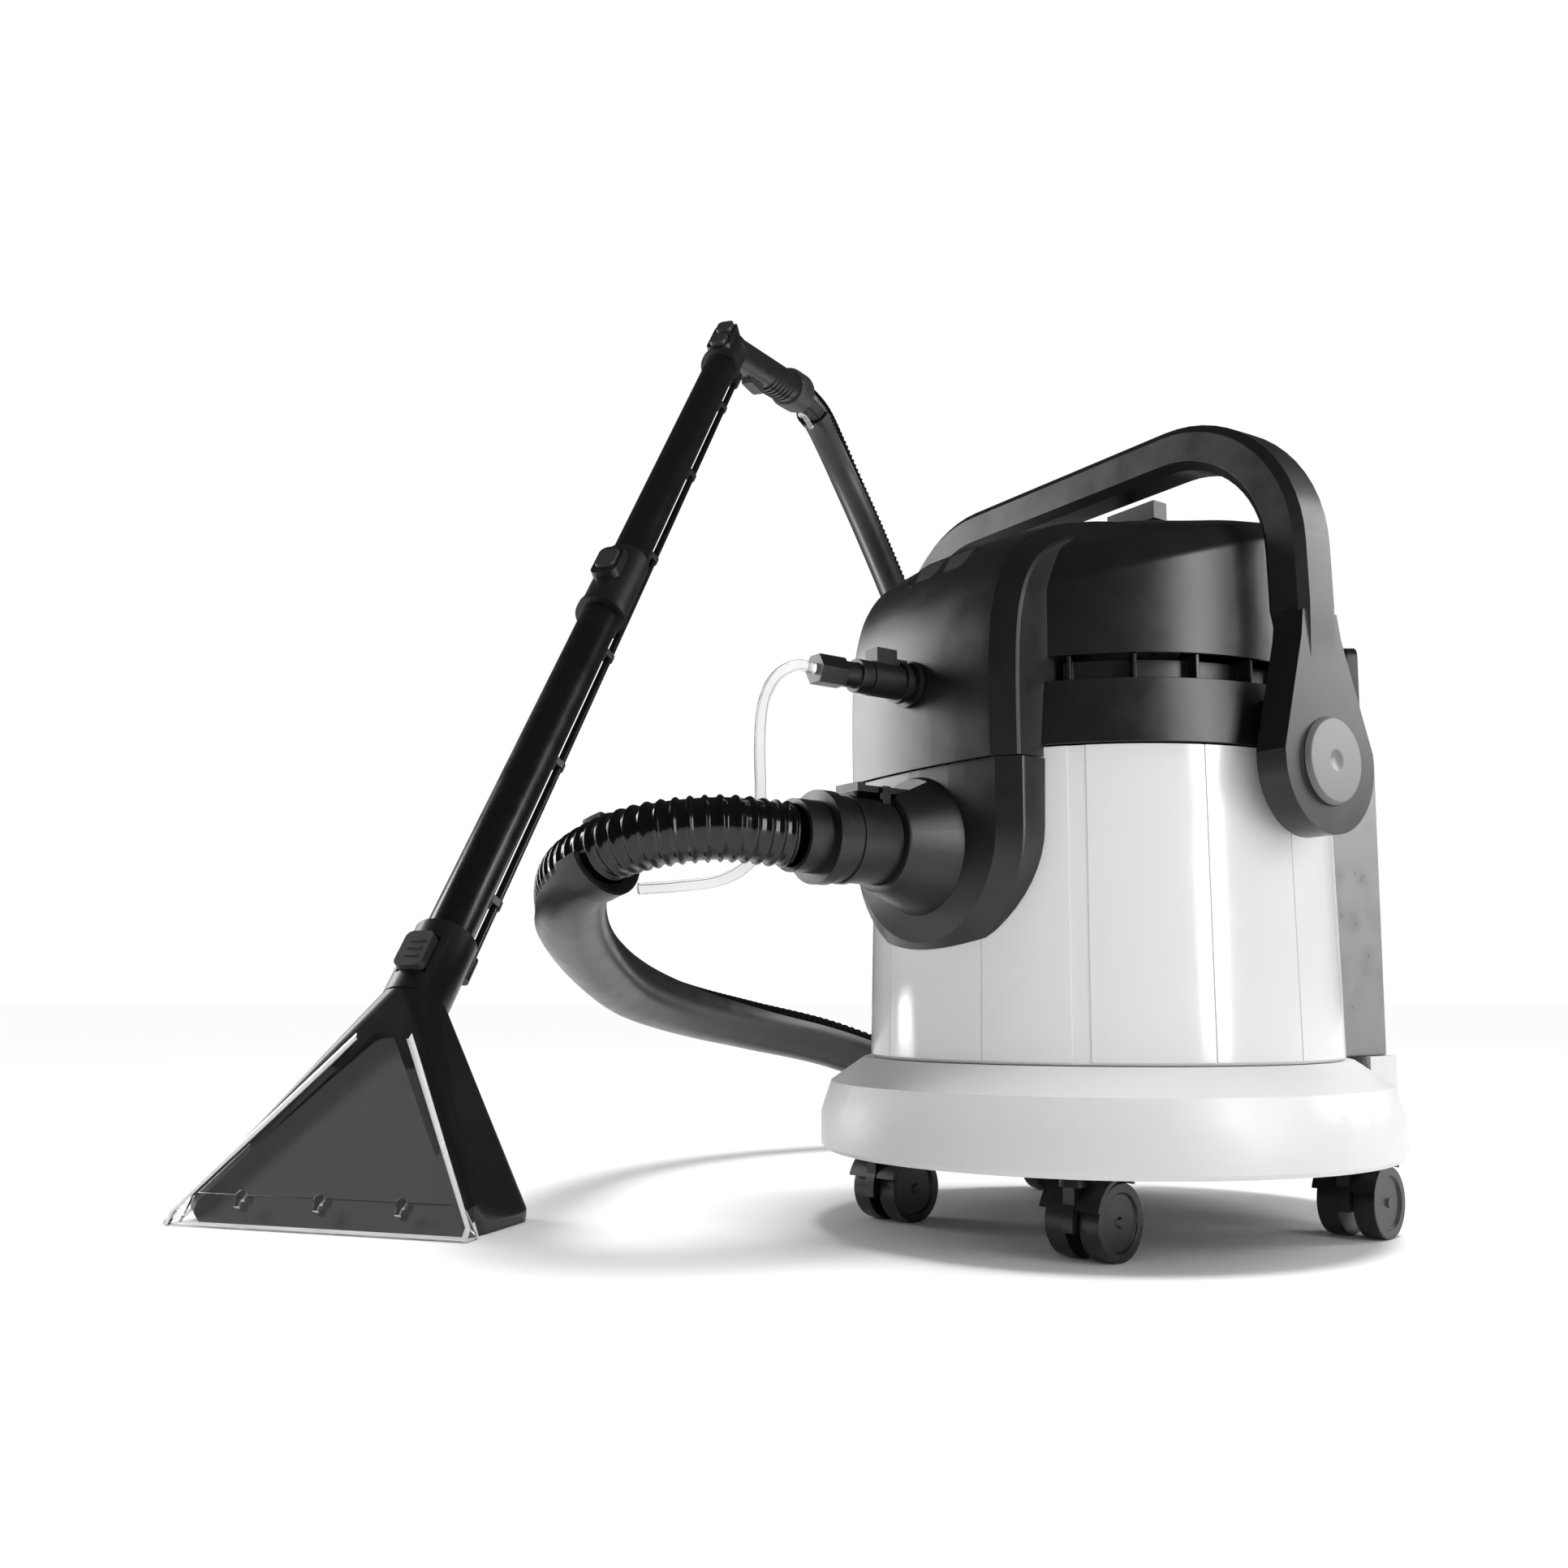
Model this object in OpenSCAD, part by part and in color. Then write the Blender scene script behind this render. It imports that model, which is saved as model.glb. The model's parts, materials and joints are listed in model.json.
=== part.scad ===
// Spray-extraction canister vacuum cleaner. A round canister on four casters carries a lift-off
// motor head, a clear-water tank and a carrying handle. A hose runs to a floor wand.
// Front of the canister is -Y, +Z is up and the floor is z = 0.

/* [Placement] */
// Canister axis, distance along X from the middle of the whole set
canister_x = 380; // [376:1:384]
// Canister axis, distance along Y from the middle of the whole set
canister_y = 49.5; // [46:0.5:53]
// Middle of the floor nozzle's front edge, X from the canister axis
nozzle_dx = -267; // [-275:1:-260]
// Middle of the floor nozzle's front edge, Y from the canister axis
nozzle_dy = -457; // [-465:1:-450]
// Turn of the wand about the vertical
wand_yaw = 37.45; // [35:0.05:40]

/* [Canister] */
// Largest radius of the wheeled base
base_r = 193; // [190:1:195]
// Height of the base's lower edge above the floor
base_z = 52; // [51:0.5:53]
// Height of the base's top deck
deck_z = 113; // [112:0.5:114]
// Container radius at the bottom
can_r1 = 158; // [157:0.5:159]
// Container radius at the rim
can_r2 = 154; // [153.5:0.5:154.5]
// Height of the container rim
rim_z = 303.5; // [303:0.1:304]
// Container wall thickness
can_wall = 3; // [2.5:0.5:3.5]
// Height of the suction inlet axis
inlet_z = 249; // [247:1:251]

/* [Head] */
// Height of the cooling-air gap's lower lip
gap_z1 = 344; // [343:0.5:345]
// Height of the cooling-air gap's upper lip
gap_z2 = 360; // [359:0.5:361]
// Radius of the head cover
cover_r = 150; // [149:0.5:150.5]
// Half width of the front housing
spine_w = 80; // [79:0.5:81]
// Height of the spray coupling axis
spray_z = 352; // [350:1:353]

/* [Carrying handle] */
// Height of the handle pivot
pivot_z = 293; // [292:0.5:294]
// Forward lean of the handle when it stands up
handle_lean = 3; // [2:0.5:4]
// Inside radius of the handle from its pivot axis
handle_in = 202; // [201:0.5:204]
// Depth of the handle bar
handle_bar = 28; // [26:1:30]

/* [Casters] */
// Wheel radius
wheel_r = 23; // [22.5:0.5:23]
// Distance of each swivel axis from the canister axis
caster_r = 155; // [153:1:156]
// Distance from the swivel axis to the wheel axle
trail = 20; // [19:0.5:21]
// Direction in which the wheels trail, from +X
heading = 98; // [90:1:110]

/* [Wand] */
// Lean of the wand tubes from the vertical
lean = 39.4; // [39:0.1:40]
// Outside radius of the wand tubes
tube_r = 19; // [18.5:0.5:19]
// Width of the floor nozzle
nozzle_w = 231; // [225:1:235]
// Depth of the floor nozzle's foot
nozzle_d = 104; // [100:1:106]
// Rise of the hand grip above the horizontal
grip_rise = 14; // [13:0.5:15]

/* [Hose] */
// Suction hose radius
hose_r = 20; // [19:0.5:20]
// Spray tube radius
spray_r = 3.5; // [3:0.5:3.5]
// Radius of the rigid spray line on the wand
line_r = 3.5; // [3:0.5:3.5]

/* [Hidden] */
$fn = 96;
eps = 0.01;
fit = 0.05;
caster_at = [36, -36, 120, -120];
inset = 3.5;
// Head ring: height of its flange, and its outside radius there and at its top
ring_z = 304.4;
ring_r1 = 156;
ring_r2 = 153;
// Outside radius of the lip that reaches into the container
lip_r = 147;
neck_y = 147;
neck_z = 186;
elbow_s = 1015;
elbow_y = neck_y + elbow_s * sin(lean);
elbow_h = neck_z + elbow_s * cos(lean);
// Wall of the clear-water tank: arc radius, arc centre and half width
tank_r = 145;
tank_c = 77;
tank_w = 104;
tank_z1 = 113.4;
// Split line between the front housing's foot and its upper part, and centre of the foot's round end
split_z = 297;
foot_z = 255;
tank_z2 = 325;
// Suction hose from the cuff to the hand grip, from the canister axis
hose_route = [
    [0, -262, 249], [-12, -306, 251], [-44, -340, 246], [-92, -353, 234], [-142, -339, 220],
    [-215, -297, 202], [-295, -236, 182], [-370, -165, 164], [-435, -75, 148], [-475, 25, 132],
    [-485, 130, 112], [-470, 245, 75], [-465, 370, 44], [-490, 500, 32], [-550, 620, 32],
    [-645, 715, 64], [-745, 765, 150], [-835, 770, 290], [-905, 740, 450], [-955, 700, 620],
    [-992, 660, 780], [-1018, 620, 900], [-1026, 580, 980], [-1014, 536, 1030],
    [-990, 493, 1053], [-962, 450, 1055], [-937, 417, 1048]
];
// Spray tube from its plug to the hose cover
spray_route = [
    [0, -245, 352], [0, -258, 352], [-4, -270, 344], [-10, -275, 328], [-18, -272, 304],
    [-26, -266, 280], [-31, -264, 256], [-33, -268, 236], [-38, -286, 224], [-52, -308, 220],
    [-72, -324, 219]
];
// Spray tube from the hose cover to the hand grip
spray_end_route = [[-980, 470, 1026], [-962, 446, 1028], [-945, 424, 1022]];
// Hose cover: first and last hose ring that it reaches, and the side that it leaves open
cover_first = 5;
cover_last = 49;
open_x = [[0, -0.3], [5, -0.7], [10, -0.4], [16, -0.3], [20, 0.5], [26, 0.5]];
open_y = [[0, -0.6], [5, -0.2], [10, 0.3], [16, 0.9], [20, 0.7], [26, 0.7]];
open_z = [[0, 0.7], [5, 0.6], [10, 0.9], [16, 0.3], [20, 0.1], [26, 0.5]];

// ---------- shared frames and shapes ----------

module at_canister() { translate([canister_x, canister_y, 0]) children(); }

module at_wand() {
    translate([canister_x + nozzle_dx, canister_y + nozzle_dy, 0]) rotate([0, 0, wand_yaw])
        children();
}

// Stands children on the tube axis, s from the nozzle neck; -Y faces up and forwards
module along_tube(s) {
    at_wand() translate([0, neck_y + s * sin(lean), neck_z + s * cos(lean)])
        rotate([-lean, 0, 0]) children();
}

// Stands children on the grip axis, s from the elbow; -Y faces up
module along_grip(s) {
    at_wand() translate([0, elbow_y + s * cos(grip_rise), elbow_h + s * sin(grip_rise)])
        rotate([grip_rise - 90, 0, 0]) children();
}

// Lays children along -Y at the front of the canister
module front_axis(y, z) { at_canister() translate([0, y, z]) rotate([90, 0, 0]) children(); }

module at_caster(i) {
    at_canister() rotate([0, 0, caster_at[i]]) translate([0, -caster_r, 0])
        rotate([0, 0, heading - caster_at[i]]) children();
}

// Tube or ring: outer radius, inner radius, height
module pipe(ro, ri, h) {
    difference() {
        cylinder(r = ro, h = h);
        translate([0, 0, -1]) cylinder(r = ri, h = h + 2);
    }
}

module rounded_bar(size, r) {
    linear_extrude(size.z, center = true) offset(r = r, $fn = 24)
        square([size.x - 2 * r, size.y - 2 * r], center = true);
}

// Cone of the head ring's outer face, for pieces that sit against it
module ring_face(gap) {
    translate([0, 0, ring_z]) cylinder(r1 = ring_r1 + gap, r2 = ring_r2 + gap, h = gap_z1 - ring_z);
}

// ---------- swept hoses ----------

// Point on the smooth curve through a route, t from 0 to len - 1
function at_route(p, t) =
    let (n = len(p) - 1, i = min(floor(t), n - 1), u = t - i,
        a = i > 0 ? p[i - 1] : 2 * p[0] - p[1], b = p[i], c = p[i + 1],
        d = i + 2 <= n ? p[i + 2] : 2 * p[n] - p[n - 1])
    0.5 * (2 * b + (c - a) * u + (2 * a - 5 * b + 4 * c - d) * u * u
        + (3 * b - a - 3 * c + d) * u * u * u);

function unit(v) = v / norm(v);
function along(p, t) =
    unit(at_route(p, min(t + 0.02, len(p) - 1)) - at_route(p, max(t - 0.02, 0)));

// One ring of a sweep: outline points laid square to the route, with +x towards side
function ring(p, t, side, outline) =
    let (d = along(p, t), x = unit(side - (side * d) * d), y = cross(d, x), c = at_route(p, t))
    [for (q = outline) c + q.x * x + q.y * y];

// Closed solid through rings of m points each
module skin(rings) {
    m = len(rings[0]);
    k = len(rings);
    points = [for (r = rings) each r];
    sides = [for (j = [0 : k - 2]) for (i = [0 : m - 1])
        each [[j * m + i, j * m + (i + 1) % m, (j + 1) * m + i],
            [j * m + (i + 1) % m, (j + 1) * m + (i + 1) % m, (j + 1) * m + i]]];
    polyhedron(points, concat(sides, [[for (i = [m - 1 : -1 : 0]) i]],
        [[for (i = [0 : m - 1]) (k - 1) * m + i]]));
}

function circle_of(r, sides) = [for (i = [0 : sides - 1]) r * [cos(i * 360 / sides), sin(i * 360 / sides)]];

module round_tube(route, r, sides, steps) {
    skin([for (j = [0 : (len(route) - 1) * steps]) ring(route, j / steps, [0.3, 0.2, 1],
        circle_of(r, sides))]);
}

module suction_hose() color("dimgray") at_canister() round_tube(hose_route, hose_r, 10, 2);
module spray_tube() color("gainsboro") at_canister() round_tube(spray_route, spray_r, 8, 2);
module spray_tube_end() color("gainsboro") at_canister() round_tube(spray_end_route, spray_r, 8, 2);

// Channel clipped over the hose and the spray tube, open on one side
module hose_cover() color("black") at_canister() {
    bore = hose_r + 1.3;
    outer = hose_r + 4.5;
    steps = [60 : 40 : 300];
    outline = concat([for (a = steps) bore * [cos(a), sin(a)]],
        [for (k = [0 : 6]) let (a = 300 - 40 * k) outer * [cos(a), sin(a)] - [4, 0]]);
    // the outline runs clockwise when it is reversed, so that the solid faces outwards
    turned = [for (k = [len(outline) - 1 : -1 : 0]) outline[k]];
    skin([for (j = [cover_first : cover_last]) let (t = j / 2)
        ring(hose_route, t, [lookup(t, open_x), lookup(t, open_y), lookup(t, open_z)], turned)]);
}

// ---------- base ----------

module accessory_spot(side) { translate([side * 119, 128, 0]) children(); }

module tank_plan(grow) {
    intersection() {
        translate([0, tank_c]) circle(r = tank_r + grow);
        translate([-tank_w - grow, 60]) square([2 * (tank_w + grow), 200]);
    }
}

module base_chassis() color("whitesmoke") at_canister() difference() {
    union() {
        rotate_extrude() polygon([[0, deck_z - 9], [150, deck_z - 9], [181, 92],
            [base_r - 5.5, 76], [base_r - 5.5, base_z], [base_r - 3, base_z],
            [base_r, base_z + 3], [base_r, 76], [base_r - 7, 97], [163, deck_z], [0, deck_z]]);
        difference() {
            translate([0, 0, base_z + 6]) linear_extrude(deck_z - base_z - 6) tank_plan(6);
            translate([0, 0, base_z]) linear_extrude(deck_z - base_z - 5) tank_plan(2.5);
            cylinder(r = base_r - 8, h = deck_z + 10);
        }
        for (a = caster_at) rotate([0, 0, a]) translate([0, -caster_r, base_z + 4])
            cylinder(r = 13, h = deck_z - base_z - 10);
        for (a = [45 : 90 : 315]) rotate([0, 0, a]) translate([118, 0, 60])
            cylinder(r = 6, h = deck_z - 66);
        for (s = [-1, 1]) accessory_spot(s) translate([0, 0, 66]) cylinder(r = 12.5, h = 31);
    }
    for (a = caster_at) rotate([0, 0, a]) translate([0, -caster_r, 0]) cylinder(r = 5.5 + fit, h = 88);
    for (a = [45 : 90 : 315]) rotate([0, 0, a]) translate([118, 0, 50]) cylinder(r = 1.6, h = 30);
    for (s = [-1, 1]) accessory_spot(s) translate([0, 0, 70]) cylinder(r = 9.2, h = 60);
}

module base_underplate() color("dimgray") at_canister() difference() {
    translate([0, 0, 57]) cylinder(r = 140, h = 2.8);
    for (a = [45 : 90 : 315]) rotate([0, 0, a]) translate([118, 0, 50]) cylinder(r = 2.2, h = 20);
}

module base_screws() color("silver") at_canister()
    for (a = [45 : 90 : 315]) rotate([0, 0, a]) translate([118, 0, 0]) {
        translate([0, 0, 54.5]) cylinder(r = 4, h = 2.5, $fn = 32);
        translate([0, 0, 57 - eps]) cylinder(r = 1.55, h = 20, $fn = 32);
    }

// ---------- casters ----------

module caster_fork(i) color("black") at_caster(i) difference() {
    union() {
        translate([0, 0, 44]) cylinder(r1 = 8.5, r2 = 7, h = 8);
        translate([0, 0, 44]) cylinder(r = 5.5, h = 42);
        intersection() {
            translate([trail, 4, wheel_r]) rotate([90, 0, 0]) cylinder(r = wheel_r + 4.5, h = 8);
            translate([-20, -10, wheel_r - 5]) cube([80, 20, 60]);
        }
        difference() {
            translate([trail, 20.5, wheel_r]) rotate([90, 0, 0]) cylinder(r = wheel_r + 4, h = 41);
            translate([trail, 22, wheel_r]) rotate([90, 0, 0]) cylinder(r = wheel_r + 1.5, h = 44);
            translate([trail - 40, -30, -30]) cube([80, 60, 30 + wheel_r + 8]);
            translate([trail + 12, -30, 0]) cube([40, 60, 60]);
        }
        translate([-5, -4, 30]) cube([12, 8, 18]);
    }
    translate([trail, 30, wheel_r]) rotate([90, 0, 0]) cylinder(r = 3 + fit, h = 60);
    for (s = [-1, 1]) translate([trail, s * 4 + (s > 0 ? 16.5 : 0), wheel_r]) rotate([90, 0, 0])
        cylinder(r = wheel_r + 1, h = 16.5);
}

module caster_wheels(i) color("black") at_caster(i) translate([trail, 0, wheel_r])
    rotate([90, 0, 0]) {
        translate([0, 0, -19]) cylinder(r = 3, h = 38);
        for (s = [-1, 1]) translate([0, 0, s * 12]) difference() {
            cylinder(r = wheel_r, h = 14, center = true);
            translate([0, 0, s * 7]) cylinder(r = 17, h = 3, center = true);
        }
    }

module caster_fork_1() caster_fork(0);
module caster_fork_2() caster_fork(1);
module caster_fork_3() caster_fork(2);
module caster_fork_4() caster_fork(3);
module caster_wheels_1() caster_wheels(0);
module caster_wheels_2() caster_wheels(1);
module caster_wheels_3() caster_wheels(2);
module caster_wheels_4() caster_wheels(3);

// ---------- container and suction inlet ----------

// Shallow upright groove in the container's wall, at an angle from the front
module wall_groove(angle, width) {
    rotate([0, 0, angle]) rotate([90, 0, 90]) linear_extrude(width, center = true)
        polygon([[-can_r1 - 1, deck_z], [-can_r1 + 0.8, deck_z], [-can_r2 + 0.8, rim_z + 1],
            [-can_r2 - 1, rim_z + 1]]);
}

module container() color("white") at_canister() difference() {
    rotate_extrude() polygon([[0, deck_z + 0.4], [can_r1 - 2, deck_z + 0.4],
        [can_r1, deck_z + 2.4], [can_r2, rim_z], [can_r2 - can_wall, rim_z],
        [can_r1 - can_wall, deck_z + 4], [0, deck_z + 4]]);
    for (s = [-1, 1]) {
        for (a = [16, 67, 91, 118]) wall_groove(s * a, 1.2);
        for (a = [38.5, 145]) wall_groove(s * a, 11);
    }
    translate([0, -120, inlet_z]) rotate([90, 0, 0]) cylinder(r = 24.5, h = 60);
}

// Thin upright slice of the front housing's foot: a U that ends just under the split line
module foot_slice(r, y1, y2) {
    translate([0, y2, 0]) rotate([90, 0, 0]) linear_extrude(y2 - y1) intersection() {
        union() {
            translate([0, foot_z]) circle(r = r, $fn = 64);
            translate([-r, foot_z]) square([2 * r, r]);
        }
        translate([-r, foot_z - r]) square([2 * r, split_z - 0.5 - foot_z + r]);
    }
}

module foot_form(gap) {
    hull() {
        foot_slice(spine_w + 1 - gap, -149 + gap / 2, -110);
        foot_slice(spine_w - 12 - gap, -160 + gap, -150);
        foot_slice(spine_w - 45 - gap, -165 + gap, -150);
    }
}

module inlet_housing() color("black") at_canister() difference() {
    union() {
        foot_form(0);
        translate([0, -160, inlet_z]) rotate([90, 0, 0]) cylinder(r1 = 45, r2 = 31, h = 36);
    }
    difference() {
        foot_form(inset);
        translate([0, -140, inlet_z]) rotate([90, 0, 0]) cylinder(r = 31, h = 60);
    }
    translate([0, 0, deck_z]) cylinder(r1 = can_r1 + 0.5, r2 = can_r2 + 0.5, h = rim_z - deck_z + 1);
    translate([0, -100, inlet_z]) rotate([90, 0, 0]) cylinder(r = 26.5 + fit, h = 120);
    translate([-17, -202, inlet_z + 26]) cube([34, 32, 30]);
}

module inlet_deflector() color("dimgray") difference() {
    front_axis(-108, inlet_z) pipe(24, 21.5, 47);
    at_canister() translate([0, -108, inlet_z - 34]) rotate([40, 0, 0]) cube([60, 30, 60], center = true);
}

module hose_cuff() color("black") difference() {
    union() {
        front_axis(-157, inlet_z) cylinder(r = 26.5, h = 80);
        front_axis(-222, inlet_z) cylinder(r = 27.5, h = 4);
        front_axis(-236, inlet_z) cylinder(r = 28.5, h = 9);
        front_axis(-245, inlet_z) cylinder(r = 22, h = 16.5);
        for (s = [-1, 1]) at_canister() translate([s * 13 - 1.5, -203, inlet_z + 20]) cube([3, 6, 13]);
    }
    front_axis(-150, inlet_z) cylinder(r = 19, h = 120);
    at_canister() translate([-20, -200, inlet_z + 30]) rotate([0, 90, 0]) cylinder(r = 1.5 + fit, h = 40);
}

module cuff_latch() color("black") at_canister() union() {
    translate([-11, -220, inlet_z + 29]) cube([22, 44, 4]);
    translate([-11, -220, inlet_z + 33 - eps]) cube([22, 6, 1.5]);
    translate([-14.4, -200, inlet_z + 30]) rotate([0, 90, 0]) cylinder(r = 1.5, h = 28.8);
}

// ---------- floor nozzle ----------

// Triangular outline of the nozzle's face, seen square on
module face_outline(grow, top) {
    hull() {
        translate([0, top - 22]) circle(r = 22 + grow, $fn = 32);
        translate([-nozzle_w / 2 - grow, 0]) square([nozzle_w + 2 * grow, 9]);
    }
}

// Leans children back into the plane of the nozzle's face
module on_face() { at_wand() rotate([90 - 32, 0, 0]) children(); }

module nozzle_body() color("black") difference() {
    union() {
        hull() {
            at_wand() translate([0, 56, 5]) linear_extrude(4) offset(r = 22, $fn = 24)
                square([nozzle_w - 8 - 44, nozzle_d - 12 - 44], center = true);
            at_wand() translate([0, 58, 0]) linear_extrude(1) offset(r = 20, $fn = 24)
                square([nozzle_w - 12 - 40, nozzle_d - 14 - 40], center = true);
            at_wand() translate([0, 24, 15]) cube([nozzle_w - 12, 12, 10], center = true);
            along_tube(-52) cylinder(r = 24.2, h = 4, $fn = 32);
        }
        along_tube(-51) cylinder(r = 25, h = 67);
        along_tube(-6) at_spray_line() cylinder(r = 6, h = 22);
    }
    on_face() translate([0, 0, -14]) linear_extrude(20) face_outline(-8, 158);
    along_tube(-80) cylinder(r = 15, h = 110);
    along_tube(-12) cylinder(r = tube_r + fit, h = 60);
    along_tube(-18) translate([0, -24, 0]) cube([24.8, 14, 34.8], center = true);
    along_tube(4) at_spray_line() cylinder(r = line_r + fit, h = 60);
    at_wand() translate([0, 0, -50]) cube([400, 400, 100], center = true);
}

module nozzle_window() color("lightgray") difference() {
    union() {
        on_face() translate([0, 0, -2]) linear_extrude(3.5) face_outline(0, 166);
        on_face() translate([0, 0, -11]) linear_extrude(9.5) difference() {
            face_outline(0, 166);
            face_outline(-3.5, 162.5);
        }
    }
    at_wand() translate([0, 0, -50]) cube([400, 400, 100], center = true);
    at_wand() translate([0, 30 + 14, -10]) cube([400, 60, 60], center = true);
    along_tube(-60) cylinder(r = 25.2, h = 80);
}

module nozzle_jets() color("silver") for (x = [-62, 0, 62])
    on_face() translate([x, 22, 1.5]) {
        cylinder(r = 4, h = 3, $fn = 24);
        translate([0, -4, 1.5]) cube([4, 8, 3], center = true);
    }

// Rounded push button with three raised bars, facing -Y; body reaches 8 mm inwards
module push_button(w, h, bars) {
    rotate([90, 0, 0]) {
        rounded_bar([w, h, 8], 6);
        if (bars > 0) for (k = [-1 : 1]) translate([0, k * 7, 4.2]) cube([w * 0.5, 2, 1], center = true);
    }
}

module nozzle_button() color("gray") along_tube(-18) translate([0, -26, 0]) push_button(24, 34, 3);

// ---------- wand ----------

module lower_tube() color("black") along_tube(-11) difference() {
    cylinder(r = tube_r, h = 499);
    translate([0, 0, -1]) cylinder(r = tube_r - 2, h = 510);
}

module upper_tube() color("black") along_tube(489) difference() {
    cylinder(r = tube_r, h = 499);
    translate([0, 0, -1]) cylinder(r = tube_r - 2, h = 510);
}

// Place of the rigid spray line beside the tubes
module at_spray_line() { translate([12, 22.6, 0]) children(); }

module tube_coupling() color("black") difference() {
    union() {
        along_tube(440) cylinder(r = 23.5, h = 96);
        along_tube(440) cylinder(r = 25.5, h = 7);
        along_tube(500) translate([0, -18, 0]) rotate([90, 0, 0]) rounded_bar([28, 46, 22], 8);
    }
    along_tube(430) cylinder(r = tube_r + fit, h = 120);
    along_tube(430) at_spray_line() cylinder(r = line_r + fit, h = 120);
    along_tube(500) translate([0, -26, 0]) cube([20.8, 12, 30.8], center = true);
}

module coupling_button() color("gray") along_tube(500) translate([0, -28, 0]) push_button(20, 30, 0);

module spray_line() color("black") along_tube(4) at_spray_line() cylinder(r = line_r, h = 976);

module spray_line_clips() color("black") for (s = [70, 240, 400, 570, 740, 900])
    along_tube(s) difference() {
        hull() {
            cylinder(r = tube_r + 1.5, h = 8, $fn = 48);
            at_spray_line() cylinder(r = 5.5, h = 8, $fn = 32);
        }
        translate([0, 0, -1]) cylinder(r = tube_r + fit, h = 10);
        at_spray_line() translate([0, 0, -1]) cylinder(r = line_r + fit, h = 10);
    }

module wand_handle() color("black") union() {
    handle_shell();
    along_grip(92) translate([0, 20, -20]) rotate([0, 90, 0]) cylinder(r = 1.5, h = 17.6, center = true);
}

module handle_shell() difference() {
    union() {
        along_tube(966) at_spray_line() cylinder(r = 6, h = 24);
        along_tube(968) cylinder(r = 23, h = 55);
        along_tube(968) cylinder(r = 24.5, h = 6);
        along_tube(elbow_s) sphere(r = 24, $fn = 48);
        along_grip(0) cylinder(r = 22, h = 250);
        along_tube(1008) translate([0, -14, 0]) rotate([90, 0, 0]) rounded_bar([30, 62, 20], 9);
        for (s = [140 : 16 : 220]) along_grip(s) translate([0, 4, 0]) cylinder(r = 20.5, h = 7);
    }
    along_tube(960) cylinder(r = tube_r + fit, h = 30);
    along_tube(960) cylinder(r = 15, h = elbow_s - 952);
    along_grip(-2) cylinder(r = 14.5, h = 260);
    for (s = [992, 1026]) along_tube(s) translate([0, -24, 0]) cube([20.8, 13, 24.8], center = true);
    along_grip(92) translate([0, 22, 0]) cube([14.8, 24, 52.8], center = true);
    along_tube(960) at_spray_line() cylinder(r = line_r + fit, h = 20);
}

module handle_button_lower() color("gray") along_tube(992) translate([0, -25, 0]) push_button(20, 24, 0);
module handle_button_upper() color("gray") along_tube(1026) translate([0, -25, 0]) push_button(20, 24, 0);

module trigger() color("dimgray") along_grip(92) difference() {
    hull() {
        translate([0, 22.5, -20]) cube([14, 10, 10], center = true);
        translate([0, 26, 20]) cube([14, 14, 10], center = true);
    }
    translate([-20, 20, -20]) rotate([0, 90, 0]) cylinder(r = 1.5 + fit, h = 40);
}

module grip_collar() color("dimgray") along_grip(0) difference() {
    union() {
        translate([0, 0, 250.2]) cylinder(r1 = 25, r2 = 28, h = 12);
        translate([0, 0, 262.2 - eps]) cylinder(r = 28, h = 40);
        translate([0, 0, 302]) cylinder(r1 = 28, r2 = 23, h = 14);
    }
    translate([0, 0, 240]) cylinder(r = 17, h = 90);
    translate([0, -28, 278]) rotate([90, 0, 0]) cylinder(r = 9, h = 6, center = true);
}

// ---------- head ----------

module head_ring() color("black") at_canister() union() {
    rotate_extrude() polygon([[lip_r - 3, 297], [lip_r, 297], [lip_r, ring_z], [ring_r1, ring_z],
        [ring_r2, gap_z1], [148, gap_z1], [148, 311], [139, 311], [139, gap_z2 - 2],
        [136, gap_z2 - 2], [136, 311], [30, 311], [30, 307], [lip_r - 3, 307]]);
    for (a = [45 : 90 : 315]) translate([0, 10, 0]) rotate([0, 0, a]) translate([66, 0, 311 - eps])
        cylinder(r = 4, h = 37);
    for (a = [0 : 15 : 345]) rotate([0, 0, a + 7]) translate([138, -1.2, 311 - eps])
        cube([11, 2.4, gap_z2 - 311.4]);
}

// Flat disc whose height follows the slope of the head's top
module sloped_disc(r, z, slope) {
    multmatrix([[1, 0, 0, 0], [0, 1, 0, 0], [0, slope, 1, z], [0, 0, 0, 1]])
        cylinder(r = r, h = 0.5, $fn = 64);
}

module cover_form(grow, low) {
    hull() {
        translate([0, 0, low]) cylinder(r = cover_r + grow, h = 1, $fn = 64);
        sloped_disc(cover_r - 1 + grow, 441 + grow, 0.275);
        sloped_disc(cover_r - 11 + grow, 451 + grow, 0.2);
        sloped_disc(cover_r - 55 + grow, 465 + grow, 0.09);
    }
}

module head_cover() color("black") at_canister() difference() {
    cover_form(0, gap_z2);
    cover_form(-3, gap_z2 - 10);
}

// Side view of the front housing: front face, rounded shoulder and top
module side_view(gap) {
    polygon(concat(
        [[90 - gap, split_z + 0.2 - (gap > 0 ? 5 : 0)], [-168 + gap, split_z + 0.2 - (gap > 0 ? 5 : 0)]],
        [for (a = [180 : -10 : 110]) [-78, 372] + (90 - gap) * [cos(a), sin(a)]],
        [[-76, 464 - gap], [-45, 470 - gap], [0, 476 - gap], [45, 479 - gap], [90 - gap, 480 - gap]]));
}

module spine_slab(half, gap) { rotate([90, 0, 90]) linear_extrude(2 * half, center = true) side_view(gap); }

module spine_form(gap) {
    hull() {
        spine_slab(spine_w - 12 - gap, gap);
        spine_slab(spine_w - gap, gap + 10);
        translate([0, 8, 0]) spine_slab(spine_w - gap, gap + 11);
    }
}

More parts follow.
